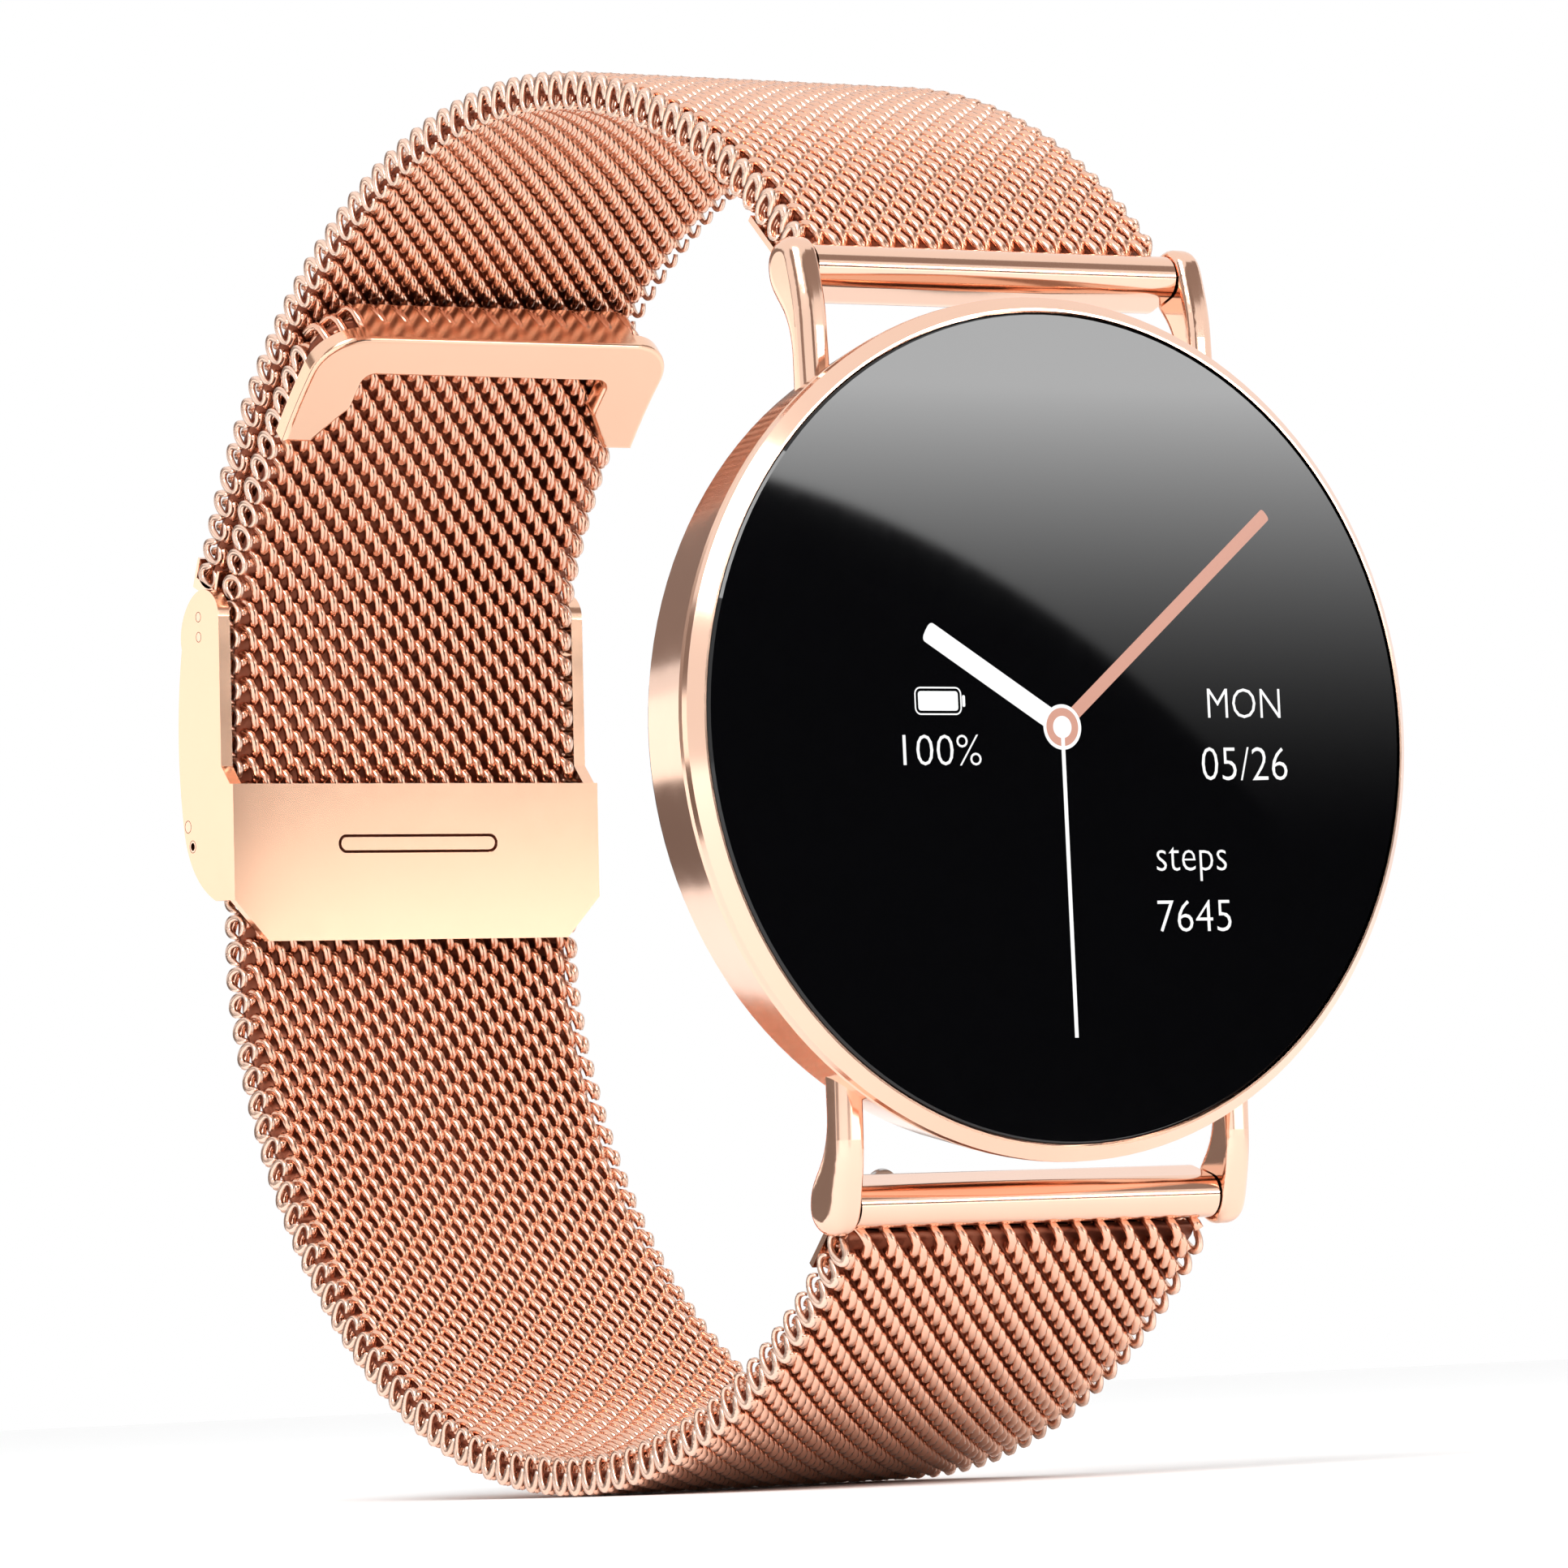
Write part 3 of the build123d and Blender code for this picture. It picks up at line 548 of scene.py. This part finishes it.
def ring_mark(soup, centre, outer, inner, depth=0, turns=64):
    """A flat ring as a row of quads."""
    for i in range(turns):
        quad = []
        for radius, step in ((outer, i), (outer, i + 1), (inner, i + 1), (inner, i)):
            turn = TURN * step / turns
            quad.append((centre[0] + radius * math.cos(turn), centre[1] + radius * math.sin(turn)))
        outline_mark(soup, quad, depth)


def rounded_box(centre, width, height, corner, steps=6):
    """The outline of a box with round corners."""
    points = []
    for k, (sx, sz) in enumerate(((1, -1), (1, 1), (-1, 1), (-1, -1))):
        for i in range(steps + 1):
            turn = math.pi / 2 * (k - 1 + i / steps)
            points.append((centre[0] + sx * (width / 2 - corner) + corner * math.cos(turn),
                           centre[1] + sz * (height / 2 - corner) + corner * math.sin(turn)))
    return points


def words(content, x_range, z_range, thin=0.0):
    """Letters as a flat mesh that fills a box on the glass, in millimetres: vertices and faces."""
    curve = bpy.data.curves.new("words", "FONT")
    curve.body = content
    curve.offset = thin
    curve.resolution_u = 3
    source = new_object("words", curve)
    shape = source.evaluated_get(bpy.context.evaluated_depsgraph_get())
    mesh = bpy.data.meshes.new_from_object(shape)
    bpy.data.objects.remove(source)
    flat = np.array([v.co[:2] for v in mesh.vertices])
    low, high = flat.min(axis=0), flat.max(axis=0)
    size = high - low
    x = x_range[0] + (flat[:, 0] - low[0]) / size[0] * (x_range[1] - x_range[0])
    z = z_range[0] + (flat[:, 1] - low[1]) / size[1] * (z_range[1] - z_range[0])
    y = np.full(len(x), GLASS_FRONT + (GLASS_STEPS - 1) * INLAY)
    return np.stack([x * MM, y, z * MM], 1), [list(face.vertices) for face in mesh.polygons]


# Words on the display: text, range across and range upwards from the glass's centre, in millimetres.
WORDS = (("100%", (-8.58, -4.42), (-1.72, -0.35)),
         ("MON", (8.01, 12.04), (0.42, 1.77)),
         ("05/26", (7.54, 12.28), (-2.4, -0.9)),
         ("steps", (4.8, 8.65), (-6.95, -5.4)),
         ("7645", (4.73, 8.76), (-9.23, -7.8)))
LETTER_THIN = -0.012


def make_display():
    """Hands, a battery sign and the words, as flat lit marks on the glass."""
    white, rose = Soup(), Soup()
    bar_mark(white, (-0.6, 0.35), (-7.1, 4.3), 0.95)
    bar_mark(rose, (0.5, 0.45), (11.75, 9.75), 0.62)
    ring_mark(white, (0, 0), 1.02, 0.86, 1)
    ring_mark(rose, (0, 0), 0.86, 0.5, 1)
    ring_mark(white, (0, 0), 0.5, 0.0, 1)
    bar_mark(white, (0, -0.4), (0.0, -13.9), 0.2, 2, False)
    battery = (-6.6, 1.15)
    outer = rounded_box(battery, 2.5, 1.25, 0.32)
    inner = rounded_box(battery, 2.36, 1.11, 0.25)
    for i in range(len(outer)):
        j = (i + 1) % len(outer)
        outline_mark(white, [outer[i], outer[j], inner[j], inner[i]])
    outline_mark(white, rounded_box(battery, 2.12, 0.87, 0.14))
    outline_mark(white, rounded_box((-5.24, 1.15), 0.16, 0.52, 0.07))
    for content, x_range, z_range in WORDS:
        vertices, faces = words(content, x_range, z_range, LETTER_THIN)
        white.vertices.append(vertices)
        white.faces.extend([[white.count + i for i in face] for face in faces])
        white.marks.extend([0] * len(faces))
        white.count += len(vertices)
    for name, soup, look in (("display_marks", white, white_light),
                             ("display_minute_hand", rose, rose_light)):
        piece = soup.build(name, [look])
        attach(piece, "head")


make_glass()
make_display()


CHEEK_LEAN = math.radians(2.5)
SMALL_PIN = 0.24  # radii of the pin ends, in millimetres
LARGE_PIN = 0.3
LINE_IN, LINE_OUT = 0.012, 0.022  # the line lies this far inside and outside the radius
LINE_LIFT = 0.004 * MM


def make_pin_lines():
    """Thin dark lines round the pin ends that show in the clasp's cheeks."""
    turns = 32
    soup = Soup()
    frame_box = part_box("clasp_frame")
    bar_box, hinge_box, stop_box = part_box("hook_bar"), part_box("cover_hinge_pin"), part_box("stop_pin")
    middle = (bar_box[0] + bar_box[1]) / 2
    up = Vector((0, -math.sin(CHEEK_LEAN), math.cos(CHEEK_LEAN))) * 0.5 * MM
    spots = [(middle + up, SMALL_PIN), (middle - up, SMALL_PIN),
             ((hinge_box[0] + hinge_box[1]) / 2, LARGE_PIN),
             ((stop_box[0] + stop_box[1]) / 2, LARGE_PIN)]
    for side in (-1, 1):
        x = (frame_box[0].x if side < 0 else frame_box[1].x) + side * LINE_LIFT
        for spot, radius in spots:
            rings = []
            for i in range(turns + 1):
                turn = -side * TURN * i / turns
                rings.append([(x, spot.y + r * MM * math.cos(turn), spot.z + r * MM * math.sin(turn))
                              for r in (radius - LINE_IN, radius + LINE_OUT)])
            for a, b in zip(rings, rings[1:]):
                base = soup.count
                soup.vertices.append(np.array(a + b))
                soup.count += 4
                soup.faces.append([base, base + 1, base + 3, base + 2])
                soup.marks.append(0)
    piece = soup.build("clasp_pin_lines", [shade_and_seam_dark])
    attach(piece, "clasp")


make_pin_lines()


STAMP_ALONG = 10.3 * MM - 4.8 * MM  # from the start of the straight under the clasp
STAMP_LONG, STAMP_HIGH = 9.2, 0.95  # the oblong's size, in millimetres
GROOVE_EDGES = (0.01, 0.15)  # how far inside the oblong's outline the band of painted groove shade starts and ends
PLATE_FACE = 1.75 * MM  # from the strap's middle to the plate's face
GROOVE_BOTTOM = PLATE_FACE - 0.11 * MM


def make_stamp_groove_shade():
    """A ring of painted shade at the bottom of the fine groove round the oblong stamped in the clasp's
    plate.
    """
    turns = 64
    middle, up, out = lower_path.at(RUN_START + STAMP_ALONG)
    spot = middle - GROOVE_BOTTOM * out
    reach, radius = (STAMP_LONG - STAMP_HIGH) / 2, STAMP_HIGH / 2
    soup = Soup()
    rings = []
    for i in range(turns):
        turn = TURN * (i + 0.5) / turns
        push = math.copysign(reach, math.cos(turn))
        rings.append([spot + ACROSS * ((push + r * math.cos(turn)) * MM) + up * (r * math.sin(turn) * MM)
                      for r in (radius - GROOVE_EDGES[0], radius - GROOVE_EDGES[1])])
    soup.grid(rings, 0, closed=True)
    piece = soup.build("clasp_stamp_groove_shade", [shade_and_seam_dark])
    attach(piece, "clasp")


make_stamp_groove_shade()

# ---- floor and light ---------------------------------------------------------------------------
low = cad_box[0].z


def aimed(location, target):
    """A placement whose +Z points away from the target."""
    away = (Vector(location) - Vector(target)).normalized()
    return Matrix.Translation(location) @ away.to_track_quat("Z", "Y").to_matrix().to_4x4()


def flat_card(name, width, height, location, target, colour, strength):
    """A card of light or dark that only reflections see."""
    w, h = width / 2, height / 2
    card = mesh_object(name, [(-w, -h, 0), (w, -h, 0), (w, h, 0), (-w, h, 0)], [(0, 1, 2, 3)], smooth=False)
    card.matrix_world = aimed(location, target)
    material = bpy.data.materials.new(name)
    material.use_nodes = True
    tree = material.node_tree
    tree.nodes.clear()
    glow = tree.nodes.new("ShaderNodeEmission")
    glow.inputs["Color"].default_value = (*colour, 1)
    glow.inputs["Strength"].default_value = strength
    out = tree.nodes.new("ShaderNodeOutputMaterial")
    tree.links.new(glow.outputs["Emission"], out.inputs["Surface"])
    card.data.materials.append(material)
    hide_from_all_but_reflections(card)


FLOOR_DROP = 0.02 * MM  # keeps the floor just clear of the closed strap


def make_floor():
    """A wide white floor under the closed watch."""
    size = 3.0
    floor = mesh_object("floor", [(-size, -size, 0), (size, -size, 0), (size, size, 0), (-size, size, 0)],
                        [(0, 1, 2, 3)], smooth=False)
    floor.location.z = low - FLOOR_DROP
    material = bpy.data.materials.new("floor")
    material.use_nodes = True
    shader = material.node_tree.nodes["Principled BSDF"]
    shader.inputs["Base Color"].default_value = (0.96, 0.96, 0.96, 1)
    shader.inputs["Roughness"].default_value = 0.9
    shader.inputs["Specular IOR Level"].default_value = 0.1
    floor.data.materials.append(material)


make_floor()


BOX_Y = -0.342
BOX_LEFT, BOX_RIGHT = 0.178, 0.290
BOX_LOW, BOX_HIGH = -0.010, 0.085
FADE_FROM, FADE_TO = 0.015, 0.060  # heights between which the light comes up
FADE_POWER = 3.0
FLAG_CENTRE = (0.1773, BOX_Y, -0.0509)
FLAG_RADIUS = 0.1045
FLAG_SOFT = 0.0008
BOX_STRENGTH = 10.0


def reflected_softbox():
    """What the glass mirrors: a soft light that fades downwards, behind a black round-edged flag."""
    corners = [(BOX_LEFT, BOX_Y, BOX_LOW), (BOX_RIGHT, BOX_Y, BOX_LOW),
               (BOX_RIGHT, BOX_Y, BOX_HIGH), (BOX_LEFT, BOX_Y, BOX_HIGH)]
    card = mesh_object("softbox", corners, [(0, 1, 2, 3)], smooth=False)
    material = bpy.data.materials.new("softbox")
    material.use_nodes = True
    tree = material.node_tree
    tree.nodes.clear()
    place = tree.nodes.new("ShaderNodeTexCoord")
    split = tree.nodes.new("ShaderNodeSeparateXYZ")
    tree.links.new(place.outputs["Object"], split.inputs["Vector"])
    rise = tree.nodes.new("ShaderNodeMapRange")
    rise.inputs["From Min"].default_value = FADE_FROM
    rise.inputs["From Max"].default_value = FADE_TO
    tree.links.new(split.outputs["Z"], rise.inputs["Value"])
    cube = tree.nodes.new("ShaderNodeMath")
    cube.operation = "POWER"
    cube.inputs[1].default_value = FADE_POWER
    tree.links.new(rise.outputs["Result"], cube.inputs[0])
    away = tree.nodes.new("ShaderNodeVectorMath")
    away.operation = "DISTANCE"
    away.inputs[1].default_value = FLAG_CENTRE
    tree.links.new(place.outputs["Object"], away.inputs[0])
    edge = tree.nodes.new("ShaderNodeMapRange")
    edge.inputs["From Min"].default_value = FLAG_RADIUS
    edge.inputs["From Max"].default_value = FLAG_RADIUS + FLAG_SOFT
    tree.links.new(away.outputs["Value"], edge.inputs["Value"])
    both = tree.nodes.new("ShaderNodeMath")
    both.operation = "MULTIPLY"
    tree.links.new(cube.outputs["Value"], both.inputs[0])
    tree.links.new(edge.outputs["Result"], both.inputs[1])
    bright = tree.nodes.new("ShaderNodeMath")
    bright.operation = "MULTIPLY"
    bright.inputs[1].default_value = BOX_STRENGTH
    tree.links.new(both.outputs["Value"], bright.inputs[0])
    glow = tree.nodes.new("ShaderNodeEmission")
    tree.links.new(bright.outputs["Value"], glow.inputs["Strength"])
    out = tree.nodes.new("ShaderNodeOutputMaterial")
    tree.links.new(glow.outputs["Emission"], out.inputs["Surface"])
    card.data.materials.append(material)
    hide_from_all_but_reflections(card)


reflected_softbox()
TAUPE = (0.20, 0.165, 0.15)
MIDDLE = Vector((0, 0.02, 0))
for name, width, height, place, colour, strength in (
        ("back_glow", 0.9, 0.16, (-0.5, 0.78, 0.06), (1.0, 0.97, 0.93), 1.5),
        ("back_band", 1.6, 0.20, (-0.1, 0.9, 0.27), TAUPE, 1.3),
        ("back_low_band", 0.5, 0.06, (-0.05, 0.13, low + 0.001), TAUPE, 1.0),
        ("plate_glow", 0.24, 0.026, (0.23, -0.345, -0.0235), (1.0, 0.93, 0.88), 3.0),
        ("top_band", 1.2, 0.24, (0.32, -0.33, 0.34), TAUPE, 1.6),
        ("left_band", 0.22, 0.8, (-0.57, -0.10, 0.1), TAUPE, 1.6),
        ("front_band", 0.20, 0.7, (0.02, -0.60, 0.1), TAUPE, 1.3)):
    flat_card(name, width, height, place, MIDDLE, colour, strength)

world = bpy.data.worlds.new("studio")
bpy.context.scene.world = world
world.use_nodes = True
world.node_tree.nodes["Background"].inputs["Color"].default_value = (1, 1, 1, 1)
world.node_tree.nodes["Background"].inputs["Strength"].default_value = 1.0


def area(name, location, target, size, power):
    data = bpy.data.lights.new(name, "AREA")
    data.shape = "RECTANGLE"
    data.size, data.size_y = size
    data.energy = power
    lamp = new_object(name, data)
    lamp.matrix_world = aimed(location, target)


centre = (cad_box[0] + cad_box[1]) / 2
area("key", centre + Vector((-0.35, -0.35, 0.45)), centre, (0.35, 0.35), 3.0)

scene = bpy.context.scene
scene.view_settings.view_transform = "Standard"
